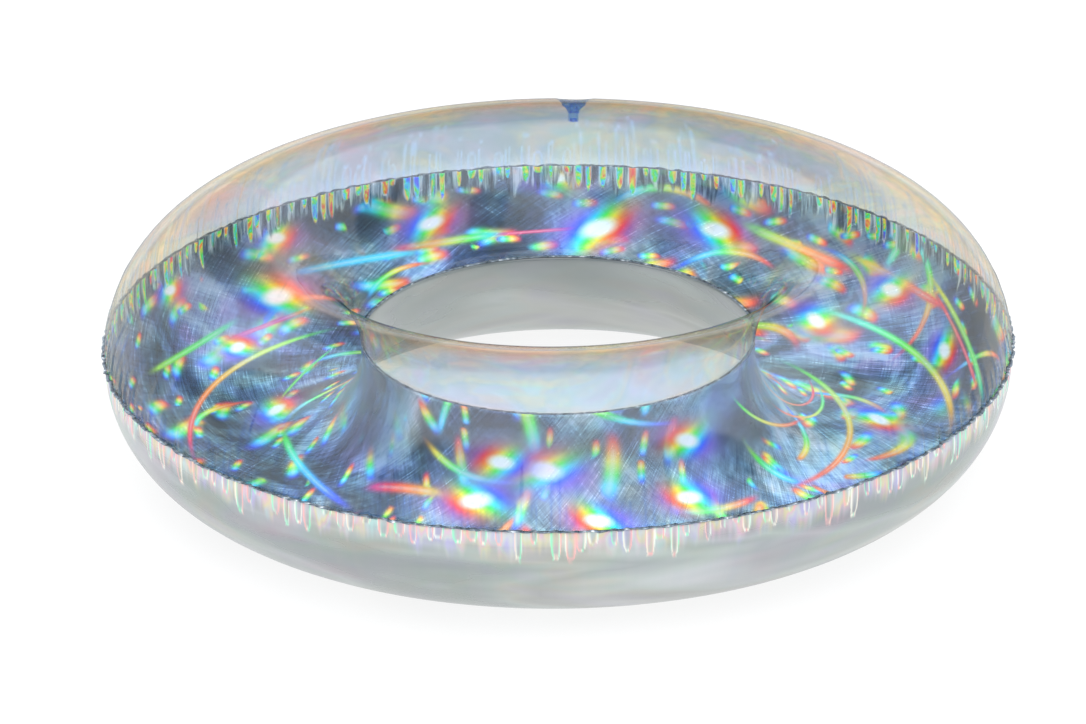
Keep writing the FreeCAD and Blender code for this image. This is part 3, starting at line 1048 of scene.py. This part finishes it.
def lathe(outline, count, closed=True, waves=None):
    """An outline of radius and height turned about the z axis; an open one is capped at both ends."""
    theta = angles(count)
    vertices = []
    for radius, level in outline:
        row = radius + (0 if waves is None else waves(theta, level))
        vertices.extend(np.column_stack((row * np.cos(theta), row * np.sin(theta), np.full(count, level))))
    return vertices, skin(len(outline), count, closed)


def band(path, half_width, half_wall, count=24):
    """A strip with a rounded section along a path of (y, z) points. Its sizes are functions of how far along
    it is, from 0 to 1."""
    vertices = []
    for k, point in enumerate(path):
        ahead = path[min(k + 1, len(path) - 1)] - path[max(k - 1, 0)]
        side = Vector((-ahead.y, ahead.x)).normalized()
        share = k / (len(path) - 1)
        for turn in angles(count):
            cosine, sine = math.cos(turn), math.sin(turn)
            x = half_width(share) * math.copysign(abs(cosine) ** 0.35, cosine)
            off = half_wall(share) * math.copysign(abs(sine) ** 0.5, sine)
            vertices.append((x, point.x + side.x * off, point.y + side.y * off))
    return vertices, skin(len(path), count, closed=False)


def joined(*shapes):
    vertices, faces = [], []
    for more_vertices, more_faces in shapes:
        start = len(vertices)
        vertices += list(more_vertices)
        faces += [tuple(start + i for i in face) for face in more_faces]
    return vertices, faces


def in_place(point):
    """A point of the valve's frame, in the float's frame."""
    return valve_frame @ (Vector(point) * MM)


def valve_piece(name, shape, material, body=None):
    """A piece of the valve, named like the CAD node that it stands for, and put in its place."""
    vertices, faces = shape
    made = outward(new_object(name, [in_place(v) for v in vertices], faces, (materials[material],)))
    made.data.set_sharp_from_angle(angle=math.radians(50))
    return dressed(made, body, name)


def valve_flange():
    """The washer welded under the clear sheet, with fine weld rings."""
    radii = [VALVE_HOLE + (FLANGE_RADIUS - VALVE_HOLE) * k / 24 for k in range(25)]
    count = 128
    theta = angles(count)
    vertices = []
    for layer in (0, 1):
        for k, radius in enumerate(radii if layer == 0 else reversed(radii)):
            edge = 0.2 if k in (0, len(radii) - 1) else 0.0
            ridge = 0.10 * math.sin(radius * 5.2)
            inset = WALL + (FLANGE_WALL - edge + ridge if layer else edge) * MM
            for turn in theta:
                bearing = np.array([math.pi / 2 + radius * MM * math.cos(turn) / seat_radius])
                points, _, _ = clear_surface(bearing, SEAT_DISTANCE + radius * MM * math.sin(turn), inset)
                vertices.append(points[0])
    made = outward(new_object("valve_flange", vertices, skin(2 * len(radii), count), (materials["blue"],)))
    return dressed(made, "ring", "valve_flange")


def valve_cone():
    """The soft cone between the sheet and the stem, in one resting shape; the real cone turns inside out when
    the valve is pulled out.
    """
    sunk = float(dimple(VALVE_HOLE * MM)) / MM
    rim_top = -0.3 - sunk
    grip = STEM_RADIUS + 0.15
    corners = [
        (VALVE_HOLE - CONE_WALL, rim_top), (VALVE_HOLE, rim_top), (VALVE_HOLE, -RIM_FOOT - sunk),
        (10.0, -12.2), (grip + CONE_WALL, -CONE_FOOT), (grip + CONE_WALL, -CONE_FOOT - 1.8),
        (grip, -CONE_FOOT - 1.8), (grip, -CONE_FOOT + CONE_WALL), (9.3, -11.8),
        (VALVE_HOLE - CONE_WALL, -RIM_FOOT - sunk + 0.4),
    ]

    def creases(theta, level):
        middle = math.exp(-(((level + 9.5) / 4.0) ** 2))
        return 0.22 * middle * (np.cos(7 * theta + 0.6) + 0.5 * np.cos(13 * theta))

    shape = lathe(finely(rounded(corners, 1.4, 5), 0.7), 112, waves=creases)
    made = valve_piece("valve_cone", shape, "blue")
    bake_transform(made)


def valve_stem():
    lip_foot = -MOUTH - 1.6
    corners = [
        (STEM_BORE, -FOOT), (STEM_RADIUS, -FOOT), (STEM_RADIUS + 0.25, -FOOT + 0.5),
        (STEM_RADIUS + 0.25, -FOOT + 1.6), (STEM_RADIUS, -FOOT + 2.1), (STEM_RADIUS, lip_foot),
        (STEM_RADIUS + 0.8, lip_foot + 0.4), (STEM_RADIUS + 0.8, -MOUTH - 0.4),
        (STEM_RADIUS + 0.4, -MOUTH), (STEM_BORE, -MOUTH),
    ]
    valve_piece("valve_stem", lathe(finely(rounded(corners, 0.4), 1.5), 80), "stem", "valve")


def check_valve():
    bore = 3.9
    corners = [(bore, -FOOT), (STEM_BORE, -FOOT), (STEM_BORE, -FOOT + 4), (bore, -FOOT + 4)]
    shape = lathe(finely(rounded(corners, 0.2), 1), 64)
    valve_piece("check_valve_insert", shape, "insert", "valve")
    top = -FOOT - SEAT_GAP
    foot = top - 0.9
    corners = [(0.05, top), (5.8, top), (5.8, top - 0.5), (2.2, top - 0.5), (1.6, foot), (0.05, foot)]
    shape = lathe(rounded(corners, 0.2, closed=False), 64, closed=False)
    valve_piece("check_flap", shape, "insert", "flap")


def stopper():
    seat = -MOUTH + SEAT_GAP
    top = seat + HEAD_HEIGHT
    corners = [
        (0.05, seat - 5.0), (3.1, seat - 5.0), (4.52, seat), (HEAD_RADIUS, seat), (HEAD_RADIUS, top),
        (5.0, top), (4.6, top - 0.25), (3.4, top - 0.25), (3.0, top), (2.2, top), (2.2, top - 5.0),
        (0.05, top - 5.0),
    ]
    plug = lathe(rounded(corners, 0.35, closed=False), 88, closed=False)
    path = [Vector((-4.6 - 6.0 * k / 30, seat + 0.5)) for k in range(31)]

    def tab_width(share):
        return 2.5 * (1 - max(0.0, (share - 0.6) / 0.42) ** 3)

    def tab_wall(share):
        return 0.42 + (0.08 * math.cos(share * 44) if share > 0.5 else 0.05)

    valve_piece("stopper", joined(plug, band(path, tab_width, tab_wall)), "blue", "stopper")


def stopper_strap():
    """The strip between the stopper's head and the stem, in one resting shape; the real strip bends when the
    stopper swings open.
    """
    arm = -MOUTH + SEAT_GAP + HEAD_HEIGHT / 2
    foot = -8.0
    path = rounded([(7.5, arm), (BEND, arm), (BEND, foot), (6.3, foot)], 0.9, 8, closed=False)
    shape = band(finely(path, 0.25, closed=False), lambda share: 1.6, lambda share: 0.35)
    made = valve_piece("stopper_strap", shape, "blue")
    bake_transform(made)


valve_flange()
valve_cone()
valve_stem()
check_valve()
stopper()
stopper_strap()


# The stage

def floor():
    look = Look("pale_floor")
    grain = look.noise(look.place, 3.0, detail=2.0)
    colour = look.ramp(grain, ((0.0, (0.18, 0.18, 0.18)), (1.0, (0.20, 0.20, 0.20))))
    matte = look.node("BsdfPrincipled", Base_Color=colour, Roughness=0.95, Specular_IOR_Level=0.0,
                      Emission_Color=(1.0, 1.0, 1.0), Emission_Strength=0.84)
    half = 30.0
    made = new_object("floor", [(-half, -half, 0), (half, -half, 0), (half, half, 0), (-half, half, 0)],
                      [(0, 1, 2, 3)], (look.finish(matte),))


def studio_world():
    """A white studio, brightest overhead, with a few dim panels round it."""
    world = bpy.data.worlds.new("studio")
    bpy.context.scene.world = world
    world.use_nodes = True
    sky = Nodes(world.node_tree)
    sky.tree.nodes.clear()
    x, y, z = sky.split(sky.node("TexCoord").outputs["Generated"])
    around = (x.math("ARCTAN2", y) * 5.0 + 0.7).math("COSINE").smooth(0.35, 0.75)
    panels = around * z.smooth(0.12, 0.22) * z.smooth(0.85, 0.70)
    colour = sky.mix(panels, (0.98, 0.99, 1.00), (0.34, 0.38, 0.44))
    glow = sky.node("Background", Color=colour, Strength=z.smooth(0.25, 0.95) * 1.3 + 1.0)
    sky.node("OutputWorld", Surface=glow.outputs[0])


def camera():
    """Looks at the ring from the front and above, from far off, a little left of and below its centre."""
    distance, elevation, roll = 5.379, math.radians(23.70), -0.0112
    aside, below = 0.0178, 0.0350
    data = bpy.data.cameras.new("camera")
    data.sensor_width = 36.0
    data.sensor_fit = "HORIZONTAL"
    data.lens = 152.15
    data.clip_end = 200.0
    made = bpy.data.objects.new("camera", data)
    centre = Vector((0, 0, SEAM_LEVEL))
    place = centre + distance * Vector((0, -math.cos(elevation), math.sin(elevation)))
    up = Vector((0, math.sin(elevation), math.cos(elevation)))
    aim = centre - Vector((1, 0, 0)) * aside - up * below
    turn = (aim - place).to_track_quat("-Z", "Y").to_matrix().to_4x4()
    seen = Matrix.Translation(place) @ turn @ Matrix.Rotation(roll, 4, "Z")
    made.matrix_world = Matrix.Rotation(math.radians(2.97), 4, "Z") @ seen
    bpy.context.scene.collection.objects.link(made)
    bpy.context.scene.camera = made


floor()
studio_world()
camera()
bpy.context.scene.view_settings.view_transform = "Standard"
bpy.context.scene.cycles.transparent_max_bounces = 24
